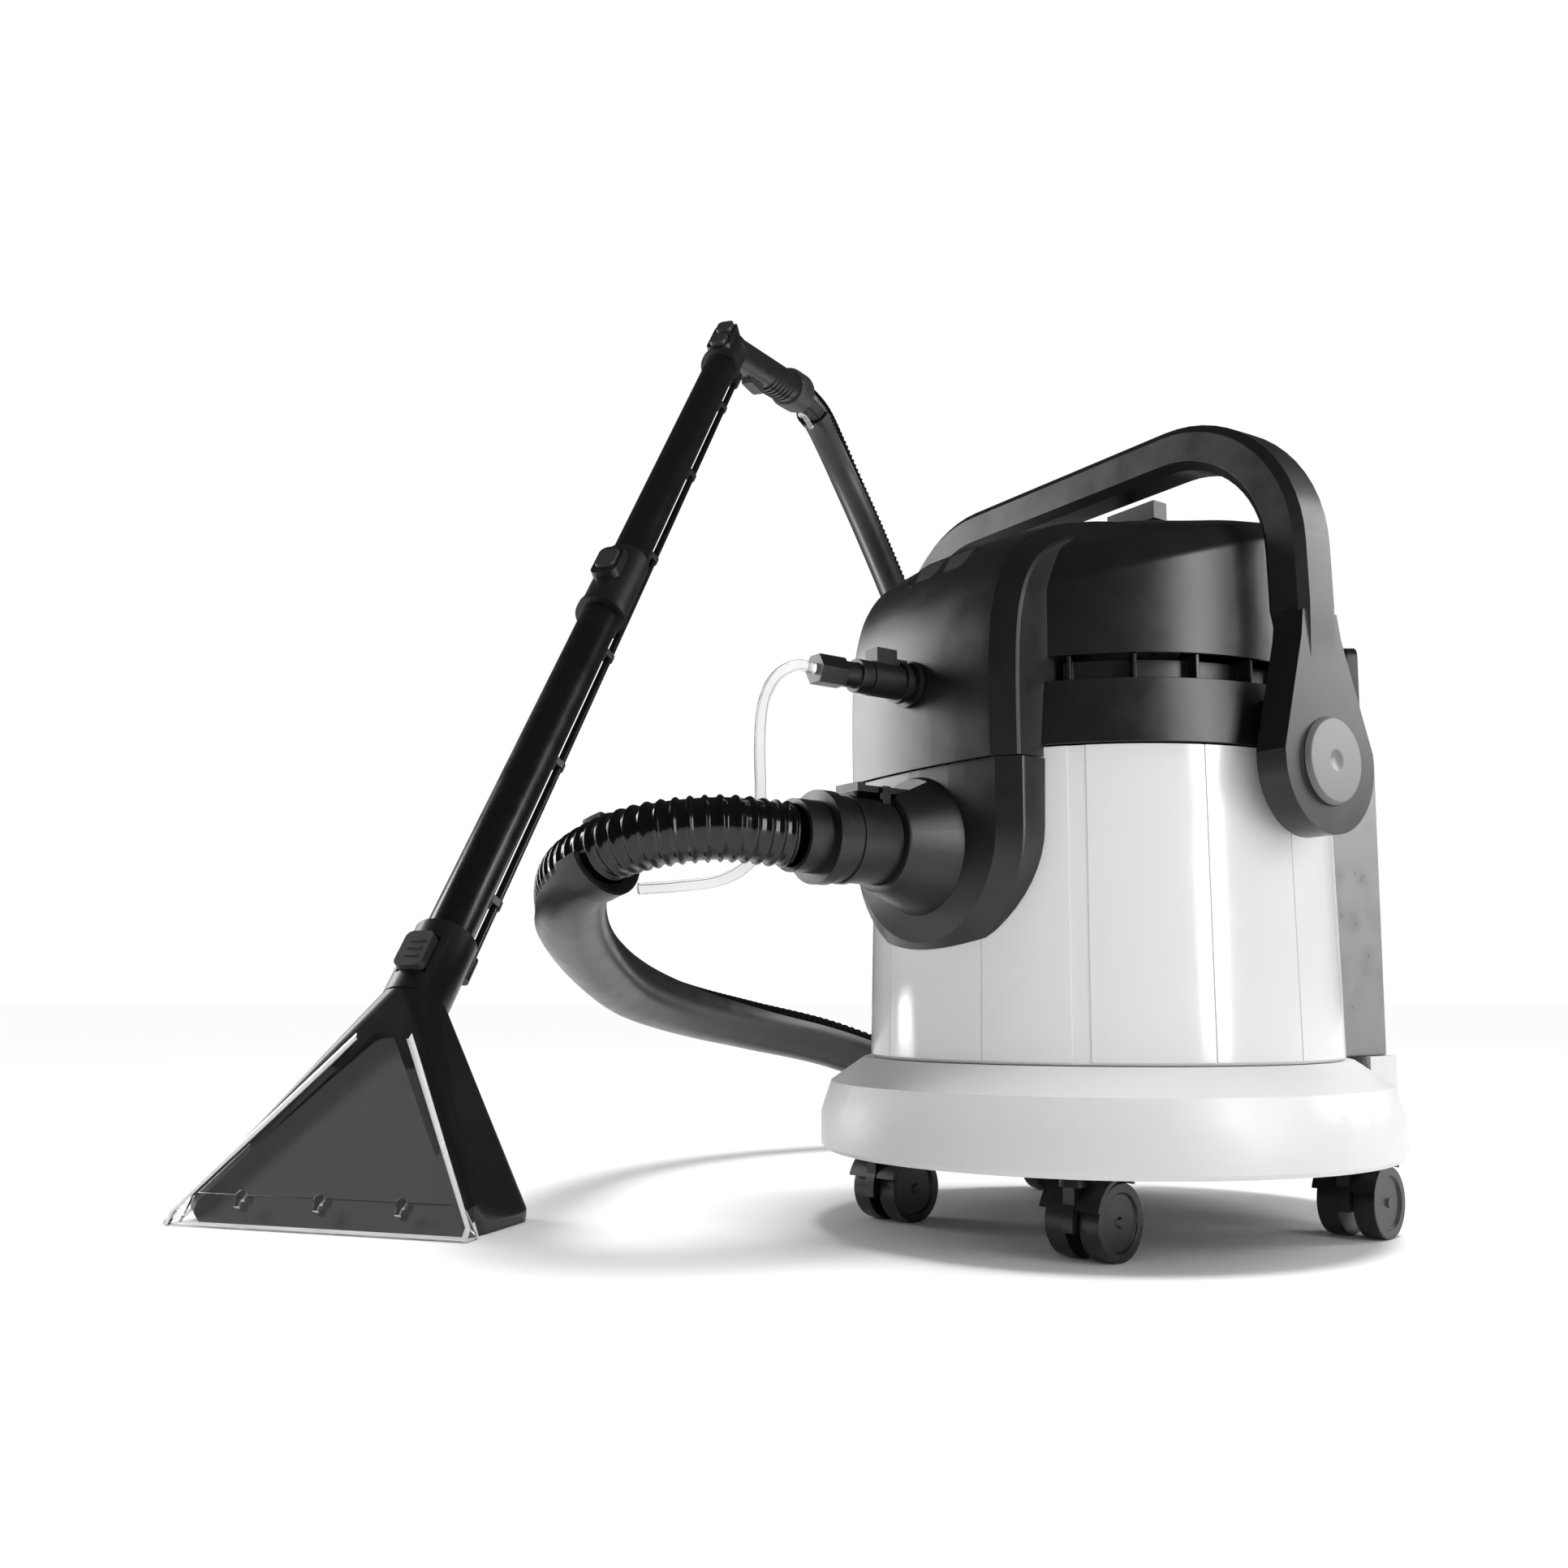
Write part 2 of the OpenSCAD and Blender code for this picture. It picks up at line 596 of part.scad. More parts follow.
module head_front() color("black") at_canister() difference() {
    intersection() {
        spine_form(0);
        translate([-200, -200, split_z + 0.2]) cube([400, 400, 400]);
    }
    spine_form(inset);
    cylinder(r = 156.5, h = gap_z1 + 0.5);
    cylinder(r = cover_r + 0.5, h = gap_z2 + 1);
    cover_form(0.4, gap_z2 - 10);
    translate([0, -100, spray_z]) rotate([90, 0, 0]) cylinder(r = 9.05, h = 90);
    switch_frame() cube([59, 27, 40], center = true);
}

// Plane of the switch panel on the front shoulder
module switch_frame() { translate([0, -139, 433]) rotate([47, 0, 0]) children(); }

module switch_bezel() color("black") at_canister() switch_frame() difference() {
    translate([0, 0, -2]) rounded_bar([58, 26, 8], 8);
    for (s = [-1, 1]) translate([s * 14, 0, 0]) cube([22.6, 20, 20], center = true);
    for (s = [-1, 1]) translate([s * 14, 0, -2]) rotate([0, 90, 0])
        cylinder(r = 1.5 + fit, h = 26, center = true);
}

module rocker(side) at_canister() switch_frame() translate([side * 14, 0, -2]) union() {
    rotate([0, 90, 0]) cylinder(r = 1.5, h = 25, center = true);
    rotate([90, 0, 90]) linear_extrude(21.4, center = true)
        polygon([[-8.4, -3], [8.4, -3], [8.4, 5], [0, 3.6], [-8.4, 2.4]]);
}

module switch_suction() color("dimgray") rocker(-1);
module switch_spray() color("dimgray") rocker(1);

module head_seal() color("darkgray") at_canister() translate([0, 0, 299])
    rotate_extrude() translate([lip_r + 1.3, 0]) circle(r = 1.5, $fn = 16);

module pivot_pods() color("black") at_canister() difference() {
    for (s = [-1, 1]) {
        translate([s * 157, 0, pivot_z]) rotate([0, s * 90, 0]) cylinder(r = 24, h = 8.6);
        translate([s * 157, 0, pivot_z]) rotate([0, s * 90, 0]) cylinder(r = 9, h = 29);
        translate([s * 155, 0, 320]) cube([18.8, 36, 28], center = true);
    }
    cylinder(r = 156.6, h = ring_z);
    ring_face(0.02);
}

module pivot_caps() color("gray") at_canister() for (s = [-1, 1])
    translate([s * 186.2, 0, pivot_z]) rotate([0, s * 90, 0]) difference() {
        cylinder(r1 = 27, r2 = 25, h = 3.6);
        translate([0, 0, 21.2]) sphere(r = 19);
    }

// Outline of the handle in its own plane: x across, y up from the pivot
module handle_outline() {
    corner = 98;
    top = handle_in + handle_bar;
    difference() {
        union() {
            translate([-90, 0]) square([180, top]);
            translate([-188, 0]) square([376, top - corner]);
            for (s = [-1, 1]) translate([s * 90, top - corner]) circle(r = corner);
        }
        translate([-90, -1]) square([180, handle_in + 1]);
        translate([-160, -1]) square([320, handle_in - 69]);
        for (s = [-1, 1]) translate([s * 90, handle_in - 70]) circle(r = 70);
        translate([-200, -1]) square([400, 90]);
    }
}

module carry_handle() color("black") at_canister() translate([0, 0, pivot_z])
    rotate([handle_lean, 0, 0]) difference() {
        union() {
            translate([0, 16, 0]) rotate([90, 0, 0]) linear_extrude(34) handle_outline();
            for (s = [-1, 1]) {
                hull() {
                    translate([s * 176, 0, 0]) rotate([0, 90, 0])
                        cylinder(r = 44, h = 20, center = true, $fn = 64);
                    translate([s * 176, -1, 60]) cube([20, 40, 2], center = true);
                }
                hull() {
                    translate([s * 176, -1, 60]) cube([20, 40, 2], center = true);
                    translate([s * 174, -1, 92]) cube([28, 34, 6], center = true);
                }
            }
        }
        translate([-200, 0, 0]) rotate([0, 90, 0]) cylinder(r = 9 + fit, h = 400);
    }

module motor() color("silver") at_canister() difference() {
    union() {
        translate([0, 10, 348]) cylinder(r = 70, h = 4.01);
        translate([0, 10, 352]) cylinder(r = 54, h = 62);
        translate([0, 10, 414 - eps]) cylinder(r = 34, h = 16);
    }
    translate([0, 10, 340]) cylinder(r = 6 + fit, h = 60);
}

module motor_fan() color("gray") at_canister() translate([0, 10, 0]) union() {
    translate([0, 0, 332]) cylinder(r = 60, h = 3);
    translate([0, 0, 332]) cylinder(r = 6, h = 62);
    for (a = [0 : 30 : 330]) rotate([0, 0, a]) translate([14, -1, 335 - eps]) cube([44, 2, 10]);
}

module water_pump() color("dimgray") at_canister() translate([0, -108, 311]) {
    translate([-26, -14, 0]) cube([52, 30, 28]);
    translate([26 - eps, 0, 14]) rotate([0, 90, 0]) cylinder(r = 12, h = 24);
}

module foam_filter() color("darkgray") at_canister() translate([0, 0, 267]) pipe(38, 24, 40);

module float_cage() color("dimgray") at_canister() difference() {
    translate([0, 0, 196]) cylinder(r = 48, h = 111);
    translate([0, 0, 199]) cylinder(r = 45, h = 120);
    for (a = [0 : 45 : 315]) rotate([0, 0, a]) translate([40, -8, 206]) cube([20, 16, 46]);
    translate([0, 0, 190]) cylinder(r = 12, h = 20);
}

module float_ball() color("white") at_canister() translate([0, 0, 219.5]) sphere(r = 20, $fn = 64);

module spray_socket() color("black") difference() {
    union() {
        front_axis(-154, spray_z) cylinder(r = 9, h = 46);
        front_axis(-168.6, spray_z) cylinder(r = 15, h = 4);
        front_axis(-176, spray_z) cylinder(r = 13, h = 4);
        front_axis(-172, spray_z) cylinder(r = 11, h = 32);
        at_canister() translate([-6, -200, spray_z + 8]) cube([12, 16, 11]);
        at_canister() translate([-4, -186, spray_z + 8]) cube([8, 12, 6]);
    }
    front_axis(-140, spray_z) cylinder(r = 6.5 + fit, h = 80);
}

module spray_plug() color("black") difference() {
    union() {
        front_axis(-190, spray_z) cylinder(r = 6.5, h = 20);
        front_axis(-204.4, spray_z) cylinder(r = 10.5, h = 9);
        front_axis(-213, spray_z) cylinder(r = 8, h = 12);
        front_axis(-224, spray_z) cylinder(r = 10, h = 20, $fn = 6);
    }
    front_axis(-180, spray_z) cylinder(r = 2, h = 80);
}

// Hooks for the rolled-up mains lead, standing behind the head
module cord_hooks() color("black") at_canister() for (s = [-1, 1])
    difference() {
        rotate([0, 0, s * 36]) {
            translate([-9, 150, 329]) cube([18, 10, 14]);
            translate([-5, 150, 330]) cube([10, 33, 8]);
            translate([0, 181, 329]) rotate([90, 0, 0]) linear_extrude(8, center = true) union() {
                translate([-8, 0]) square([16, 63]);
                translate([0, 63]) circle(r = 8);
            }
        }
        ring_face(0.02);
    }

module top_knob() color("black") at_canister() translate([0, 52, 480.1]) union() {
    cylinder(r1 = 14, r2 = 9, h = 21);
    translate([-22, -7, 20]) cube([44, 14, 13]);
    translate([-24, 9, 0]) cube([30, 18, 26]);
}

module tank_plan_shell(grow) {
    difference() {
        tank_plan(grow);
        circle(r = can_r1 + 2 - grow);
    }
}

module fresh_tank() color("gray") at_canister() difference() {
    union() {
        translate([0, 0, tank_z1]) linear_extrude(tank_z2 - tank_z1) tank_plan_shell(0);
        translate([0, 192, tank_z2 - eps]) cylinder(r = 21, h = 10);
    }
    translate([0, 0, tank_z1 + 3]) linear_extrude(tank_z2 - tank_z1 - 6) tank_plan_shell(-3);
    translate([0, 192, tank_z2 - 10]) cylinder(r = 18, h = 40);
    translate([55, 190, tank_z1 - 1]) cylinder(r = 5, h = 10);
}

module tank_cap() color("dimgray") at_canister() translate([0, 192, tank_z2]) difference() {
    cylinder(r = 24, h = 15);
    translate([0, 0, -1]) cylinder(r = 21.2, h = 11.2);
}

module tank_spout() color("dimgray") at_canister() translate([55, 190, 0]) union() {
    translate([0, 0, tank_z1 + 3.2]) cylinder(r = 9, h = 6);
    translate([0, 0, tank_z1 + 0.3]) cylinder(r = 4.9, h = 4);
}

// ---------- assembly ----------

base_chassis();
base_underplate();
base_screws();
container();
inlet_housing();
inlet_deflector();
hose_cuff();
cuff_latch();
suction_hose();
hose_cover();
spray_tube();
spray_tube_end();
nozzle_body();
nozzle_window();
nozzle_jets();
nozzle_button();
lower_tube();
tube_coupling();
coupling_button();
upper_tube();
spray_line();
spray_line_clips();
wand_handle();
handle_button_lower();
handle_button_upper();
trigger();
grip_collar();
caster_fork_1();
caster_fork_2();
caster_fork_3();
caster_fork_4();
caster_wheels_1();
caster_wheels_2();
caster_wheels_3();
caster_wheels_4();
head_ring();
head_cover();
head_front();
head_seal();
pivot_pods();
pivot_caps();
carry_handle();
motor();
motor_fan();
water_pump();
foam_filter();
float_cage();
float_ball();
switch_bezel();
switch_suction();
switch_spray();
spray_socket();
spray_plug();
cord_hooks();
top_knob();
fresh_tank();
tank_cap();
tank_spout();
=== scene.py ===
"""Looks of the spray-extraction canister vacuum cleaner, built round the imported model."""

import json
import math

import bmesh
import bpy
from mathutils import Matrix, Vector

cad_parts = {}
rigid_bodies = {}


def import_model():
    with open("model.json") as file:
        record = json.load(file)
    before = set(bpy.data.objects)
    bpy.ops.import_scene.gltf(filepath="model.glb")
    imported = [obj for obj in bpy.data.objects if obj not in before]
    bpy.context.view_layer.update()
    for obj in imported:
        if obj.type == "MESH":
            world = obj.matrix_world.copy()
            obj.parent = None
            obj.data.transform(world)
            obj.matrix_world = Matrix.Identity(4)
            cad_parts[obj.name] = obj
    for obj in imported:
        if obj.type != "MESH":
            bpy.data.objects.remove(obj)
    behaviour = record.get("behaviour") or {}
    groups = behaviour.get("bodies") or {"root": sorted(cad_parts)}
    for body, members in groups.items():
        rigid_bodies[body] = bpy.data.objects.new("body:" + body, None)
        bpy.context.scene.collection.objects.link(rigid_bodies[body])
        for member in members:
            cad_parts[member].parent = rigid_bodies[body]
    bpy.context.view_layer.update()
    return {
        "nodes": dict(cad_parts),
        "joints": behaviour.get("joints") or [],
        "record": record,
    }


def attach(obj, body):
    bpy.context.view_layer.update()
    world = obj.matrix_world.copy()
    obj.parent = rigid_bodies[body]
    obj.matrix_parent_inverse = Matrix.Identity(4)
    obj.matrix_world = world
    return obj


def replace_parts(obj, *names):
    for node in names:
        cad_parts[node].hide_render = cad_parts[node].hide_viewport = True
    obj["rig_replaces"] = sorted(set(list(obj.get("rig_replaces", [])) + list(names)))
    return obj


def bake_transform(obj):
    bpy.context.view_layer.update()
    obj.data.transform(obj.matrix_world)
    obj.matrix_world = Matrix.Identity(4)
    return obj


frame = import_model()

MM = 0.001  # metres in a millimetre

# ---------- places, in millimetres ----------

joints = {joint["name"]: joint for joint in frame["joints"]}
mounts = {mount["name"]: mount for mount in frame["record"]["mounts"]}
slot_of = {part["node"]: part["material_slot"] for part in frame["record"]["subparts"]}
body_of = {node: body for body, nodes in frame["record"]["behaviour"]["bodies"].items() for node in nodes}


def shift(x, y, z):
    return Matrix.Translation((x, y, z))


def turn(degrees, axis):
    return Matrix.Rotation(math.radians(degrees), 4, axis)


pivot = joints["handle_swing"]["pos_m"]
CANISTER = shift(pivot[0] / MM, pivot[1] / MM, 0)
PIVOT_Z = pivot[2] / MM

wand_x = joints["trigger_squeeze"]["axis"]
WAND_YAW = math.degrees(math.atan2(wand_x[1], wand_x[0]))
foot = mounts["nozzle_foot"]["pos_m"]
FOOT_BACK = 60      # the foot mount lies this far behind the nozzle's front edge
WAND = shift(foot[0] / MM, foot[1] / MM, 0) @ turn(WAND_YAW, "Z") @ shift(0, -FOOT_BACK, 0)
LEAN = 39.4         # wand tubes, from the vertical
NECK_Y, NECK_Z = 147, 186  # where the tubes' axis leaves the nozzle


def sin(degrees):
    return math.sin(math.radians(degrees))


def cos(degrees):
    return math.cos(math.radians(degrees))


def on_tube(s):
    """Frame on the tubes' axis: +Z along the tubes, -Y up and forwards."""
    return WAND @ shift(0, NECK_Y + s * sin(LEAN), NECK_Z + s * cos(LEAN)) @ turn(-LEAN, "X")


def front(y, z):
    """Frame at the canister's front: +Z forwards, +Y up."""
    return CANISTER @ shift(0, y, z) @ turn(90, "X")


# ---------- camera ----------

CAMERA_TURN = 55                   # degrees from the canister's front towards its right side
CAMERA_PITCH = 5.6                 # degrees upwards
CAMERA_AT = (0.6627, -0.7308, 0.150)  # metres from the canister's axis on the floor
camera_data = bpy.data.cameras.new("camera")
camera_data.lens = 31.677
camera_data.sensor_width = 36
camera_data.shift_y = 0.0533
camera = bpy.data.objects.new("camera", camera_data)
camera.matrix_world = (Matrix.Translation((pivot[0] + CAMERA_AT[0], pivot[1] + CAMERA_AT[1], CAMERA_AT[2]))
                       @ turn(CAMERA_TURN, "Z") @ turn(90 + CAMERA_PITCH, "X"))
bpy.context.scene.collection.objects.link(camera)
bpy.context.scene.camera = camera

# ---------- materials ----------


class Nodes:
    """Short way to build a material's node tree."""

    def __init__(self, name):
        self.material = bpy.data.materials.new(name)
        self.material.use_nodes = True
        self.tree = self.material.node_tree
        self.shader = self.tree.nodes["Principled BSDF"]
        self.place = self.add("ShaderNodeTexCoord").outputs["Object"]

    def add(self, kind, inputs=(), **settings):
        node = self.tree.nodes.new(kind)
        for key, value in settings.items():
            setattr(node, key, value)
        for key, value in dict(inputs).items():
            if isinstance(value, bpy.types.NodeSocket):
                self.tree.links.new(value, node.inputs[key])
            else:
                node.inputs[key].default_value = value
        return node

    def noise(self, scale, detail=2.0, rough=0.5):
        return self.add("ShaderNodeTexNoise", {"Vector": self.place, "Scale": scale, "Detail": detail,
                                               "Roughness": rough}).outputs["Fac"]

    def ramp(self, value, low, high, start=0.3, end=0.7):
        """Maps value to the range low to high."""
        return self.add("ShaderNodeMapRange", {"Value": value, "From Min": start, "From Max": end,
                                               "To Min": low, "To Max": high}).outputs["Result"]

    def mix(self, value, dark, light):
        node = self.add("ShaderNodeMix", data_type="RGBA")
        self.tree.links.new(value, node.inputs["Factor"])
        node.inputs[6].default_value = (*dark, 1)
        node.inputs[7].default_value = (*light, 1)
        return node.outputs[2]

    def bump(self, height, strength, distance, under=None):
        inputs = {"Height": height, "Strength": strength, "Distance": distance}
        if under is not None:
            inputs["Normal"] = under
        return self.add("ShaderNodeBump", inputs).outputs["Normal"]

    def link(self, socket, key):
        self.tree.links.new(socket, self.shader.inputs[key])

    def set(self, **values):
        for key, value in values.items():
            self.shader.inputs[key.replace("_", " ")].default_value = value


def tint(color, factor):
    return tuple(min(1.0, c * factor) for c in color)


def plastic(name, color, rough, grain=0.0, grain_size=0.35, vary=0.06, smudge=0.05, coat=0.0):
    """Moulded plastic: fine spark-eroded grain, slight colour drift and handling marks in the gloss."""
    n = Nodes(name)
    n.link(n.mix(n.noise(9), tint(color, 1 - vary), tint(color, 1 + vary)), "Base Color")
    marks = n.noise(38, 6.0, 0.62)
    n.link(n.ramp(marks, rough - smudge, rough + smudge), "Roughness")
    flow = n.bump(n.noise(14, 1.0), 0.12, 0.0006)
    if grain > 0:
        flow = n.bump(n.noise(1 / (grain_size * MM), 3.0, 0.6), grain, 0.00003, flow)
    n.link(flow, "Normal")
    n.set(Specular_IOR_Level=0.5, Coat_Weight=coat, Coat_Roughness=0.12)
    return n.material


def clear(name, color, rough, transmission=1.0, ior=1.45):
    """Clear or translucent plastic with faint flow waves."""
    n = Nodes(name)
    n.link(n.mix(n.noise(7), tint(color, 0.97), color), "Base Color")
    n.link(n.ramp(n.noise(60, 5.0), rough * 0.6, rough * 1.4), "Roughness")
    n.link(n.bump(n.noise(25, 1.0), 0.1, 0.0004), "Normal")
    n.set(Transmission_Weight=transmission, IOR=ior)
    return n.material


def metal(name, color, rough):
    n = Nodes(name)
    n.link(n.mix(n.noise(30), tint(color, 0.92), color), "Base Color")
    n.link(n.ramp(n.noise(400, 4.0), rough * 0.7, rough * 1.3), "Roughness")
    n.link(n.bump(n.noise(900, 3.0), 0.15, 0.0001), "Normal")
    n.set(Metallic=1.0)
    return n.material


def foam(name, color):
    n = Nodes(name)
    cells = n.add("ShaderNodeTexVoronoi", {"Vector": n.place, "Scale": 700}).outputs["Distance"]
    n.link(n.mix(n.ramp(cells, 0, 1, 0.1, 0.6), tint(color, 1.2), tint(color, 0.3)), "Base Color")
    n.link(n.bump(cells, 0.8, 0.0008), "Normal")
    n.set(Roughness=0.95)
    return n.material


MATERIALS = {
    "base_white": plastic("base_white", (0.66, 0.66, 0.66), 0.42, 0.10, 0.5, 0.01),
    "container_white": plastic("container_white", (0.78, 0.78, 0.78), 0.16, 0.0, 0.3, 0.008, 0.03, 0.3),
    "black_matte": plastic("black_matte", (0.007, 0.007, 0.0075), 0.34, 0.22, 0.5),
    "black_gloss": plastic("black_gloss", (0.004, 0.004, 0.0045), 0.22, 0.0, 0.3),
    "button_grey": plastic("button_grey", (0.022, 0.022, 0.022), 0.45, 0.2, 0.5),
    "cap_grey": plastic("cap_grey", (0.13, 0.13, 0.13), 0.38, 0.12, 0.5),
    "grip_grey": plastic("grip_grey", (0.018, 0.018, 0.019), 0.48, 0.3, 0.5),
    "hose_black": plastic("hose_black", (0.003, 0.003, 0.003), 0.14, 0.0, 0.3, 0.05, 0.03),
    "hose_cover_black": plastic("hose_cover_black", (0.008, 0.008, 0.008), 0.34, 0.08, 0.5),
    "clear_tube": clear("clear_tube", (0.93, 0.94, 0.94), 0.12, 0.85, 1.2),
    "clear_window": clear("clear_window", (0.97, 0.97, 0.97), 0.03, 1.0, 1.45),
    "tank_grey": clear("tank_grey", (0.30, 0.30, 0.305), 0.42, 0.35, 1.4),
    "inner_grey": plastic("inner_grey", (0.06, 0.06, 0.06), 0.5, 0.2),
    "seal_rubber": plastic("seal_rubber", (0.02, 0.02, 0.02), 0.65, 0.3),
    "steel": metal("steel", (0.6, 0.6, 0.6), 0.25),
    "motor_metal": metal("motor_metal", (0.5, 0.5, 0.5), 0.38),
    "foam": foam("foam", (0.3, 0.3, 0.29)),
    "float_white": plastic("float_white", (0.75, 0.75, 0.73), 0.4, 0.1),
    "wheel_black": plastic("wheel_black", (0.007, 0.007, 0.0075), 0.32, 0.12, 0.5),
    "jet_metal": metal("jet_metal", (0.7, 0.7, 0.7), 0.2),
}

# ---------- mesh tools, in millimetres ----------


def grow(bm, other, place=Matrix()):
    """Adds another mesh to bm, moved by place."""
    mesh = bpy.data.meshes.new("part")
    other.to_mesh(mesh)
    other.free()
    mesh.transform(place)
    bm.from_mesh(mesh)
    bpy.data.meshes.remove(mesh)
    return bm


def loft(rings, closed=True, ends=True, looped=False):
    """Skin through rings of equal length; closed joins each ring's ends, looped the last to the first."""
    bm = bmesh.new()
    rows = [[bm.verts.new(p) for p in ring] for ring in rings]
    count = len(rows[0])
    for j in range(len(rows) - (0 if looped else 1)):
        a, b = rows[j], rows[(j + 1) % len(rows)]
        for i in range(count if closed else count - 1):
            k = (i + 1) % count
            bm.faces.new((a[i], a[k], b[k], b[i]))
    if ends and closed and not looped:
        bm.faces.new(reversed(rows[0]))
        bm.faces.new(rows[-1])
    bmesh.ops.remove_doubles(bm, verts=bm.verts, dist=0.001)
    return bm


def lathe(profile, steps=96):
    """Turns a closed profile of (r, z) about Z."""
    angles = [360 * i / steps for i in range(steps)]
    return loft([[(r * sin(a), -r * cos(a), z) for r, z in profile] for a in angles], looped=True)


def rounded(w, h, r, n=6):
    """Outline of a rectangle with round corners, about its middle."""
    points = []
    for x, y, start in ((1, 1, 0), (-1, 1, 90), (-1, -1, 180), (1, -1, 270)):
        for i in range(n + 1):
            a = start + 90 * i / n
            points.append((x * (w / 2 - r) + r * cos(a), y * (h / 2 - r) + r * sin(a)))
    return points


def circle_outline(r, n):
    return [(r * cos(360 * i / n), r * sin(360 * i / n)) for i in range(n)]


def disc(r1, r2, z0, z1, n=64):
    """Round bar or cone about Z, of radius r1 at z0 and r2 at z1."""
    return loft([[(x, y, z) for x, y in circle_outline(r, n)] for r, z in ((r1, z0), (r2, z1))])


def prism(outline, z0, z1):
    return loft([[(x, y, z0) for x, y in outline], [(x, y, z1) for x, y in outline]])


def block(x0, x1, y0, y1, z0, z1):
    return prism([(x0, y0), (x1, y0), (x1, y1), (x0, y1)], z0, z1)


def curve_at(points, t):
    """Point on the smooth curve through points, t from 0 to len - 1."""
    n = len(points) - 1
    i = min(int(t), n - 1)
    u = t - i
    b, c = points[i], points[i + 1]
    a = points[i - 1] if i > 0 else 2 * b - c
    d = points[i + 2] if i + 2 <= n else 2 * c - b
    return 0.5 * (2 * b + (c - a) * u + (2 * a - 5 * b + 4 * c - d) * u * u
                  + (3 * b - a - 3 * c + d) * u * u * u)


def walk(points, step):
    """Points evenly spaced along the smooth curve, with the parameter of each."""
    fine = [(k / 60, curve_at(points, k / 60)) for k in range(60 * (len(points) - 1) + 1)]
    length = [0.0]
    for (_, p), (_, q) in zip(fine, fine[1:]):
        length.append(length[-1] + (q - p).length)
    count = max(2, round(length[-1] / step))
    out, k = [], 0
    for j in range(count + 1):
        want = length[-1] * j / count
        while k < len(fine) - 2 and length[k + 1] < want:
            k += 1
        u = (want - length[k]) / max(length[k + 1] - length[k], 1e-9)
        t = fine[k][0] + u * (fine[k + 1][0] - fine[k][0])
        out.append((t, curve_at(points, t)))
    return out, length[-1]


def sweep(stations, outline, side, ends=True):
    """Skin along stations [(t, point)]; outline(j, t) gives (x, y) points, with +x towards side(t)."""
    rings = []
    for j, (t, p) in enumerate(stations):
        a, b = stations[max(j - 1, 0)][1], stations[min(j + 1, len(stations) - 1)][1]
        d = (b - a).normalized()
        s = Vector(side(t))
        x = (s - s.dot(d) * d).normalized()
        y = d.cross(x)
        rings.append([p + q[0] * x + q[1] * y for q in outline(j, t)])
    return loft(rings, ends=ends)


def add_object(name, bm, place):
    bmesh.ops.recalc_face_normals(bm, faces=bm.faces)
    mesh = bpy.data.meshes.new(name)
    bm.to_mesh(mesh)
    bm.free()
    mesh.transform(Matrix.Scale(MM, 4) @ place)
    obj = bpy.data.objects.new(name, mesh)
    bpy.context.scene.collection.objects.link(obj)
    return obj


def settle(obj):
    """Applies obj's modifiers to its mesh."""
    graph = bpy.context.evaluated_depsgraph_get()
    mesh = bpy.data.meshes.new_from_object(obj.evaluated_get(graph))
    obj.modifiers.clear()
    obj.data = mesh


def cut(obj, cutters, operation="DIFFERENCE"):
    for cutter in cutters:
        modifier = obj.modifiers.new("cut", "BOOLEAN")
        modifier.object = cutter
        modifier.operation = operation
        modifier.solver = "EXACT"
    settle(obj)
    for cutter in cutters:
        bpy.data.objects.remove(cutter)
    return obj


def finish_piece(obj, node, bevel=0.0, angle=32, segments=3):
    """Rounds the edges, smooths the shading and puts the piece in its node's place."""
    if bevel > 0:
        modifier = obj.modifiers.new("edges", "BEVEL")
        modifier.width = bevel * MM
        modifier.segments = segments
        modifier.limit_method = "ANGLE"
        modifier.angle_limit = math.radians(angle)
        modifier.harden_normals = False
        settle(obj)
    obj.data.shade_smooth()
    obj.data.set_sharp_from_angle(angle=math.radians(angle + 8))
    if bevel > 0:
        modifier = obj.modifiers.new("normals", "WEIGHTED_NORMAL")
        modifier.keep_sharp = True
        settle(obj)
    obj.data.materials.clear()
    obj.data.materials.append(MATERIALS[slot_of[node]])
    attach(obj, body_of[node])
    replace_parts(obj, node)
    return obj


def piece(node, bm, place, bevel=0.0, angle=32, segments=3):
    return finish_piece(add_object(node + "_skin", bm, place), node, bevel, angle, segments)


def refined(node, bevel=0.5, angle=32, segments=2):
    """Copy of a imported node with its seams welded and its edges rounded."""
    bm = bmesh.new()
    bm.from_mesh(frame["nodes"][node].data)
    bmesh.ops.remove_doubles(bm, verts=bm.verts, dist=0.00001)
    bmesh.ops.dissolve_limit(bm, angle_limit=math.radians(1.0), verts=bm.verts, edges=bm.edges)
    return piece(node, bm, Matrix.Scale(1 / MM, 4), bevel, angle, segments)


# ---------- suction hose, its cover and the spray tube ----------

HOSE_R = 20
RIB_PITCH = 8
RIB_HIGH = 1.8
SPRAY_R = 3.5

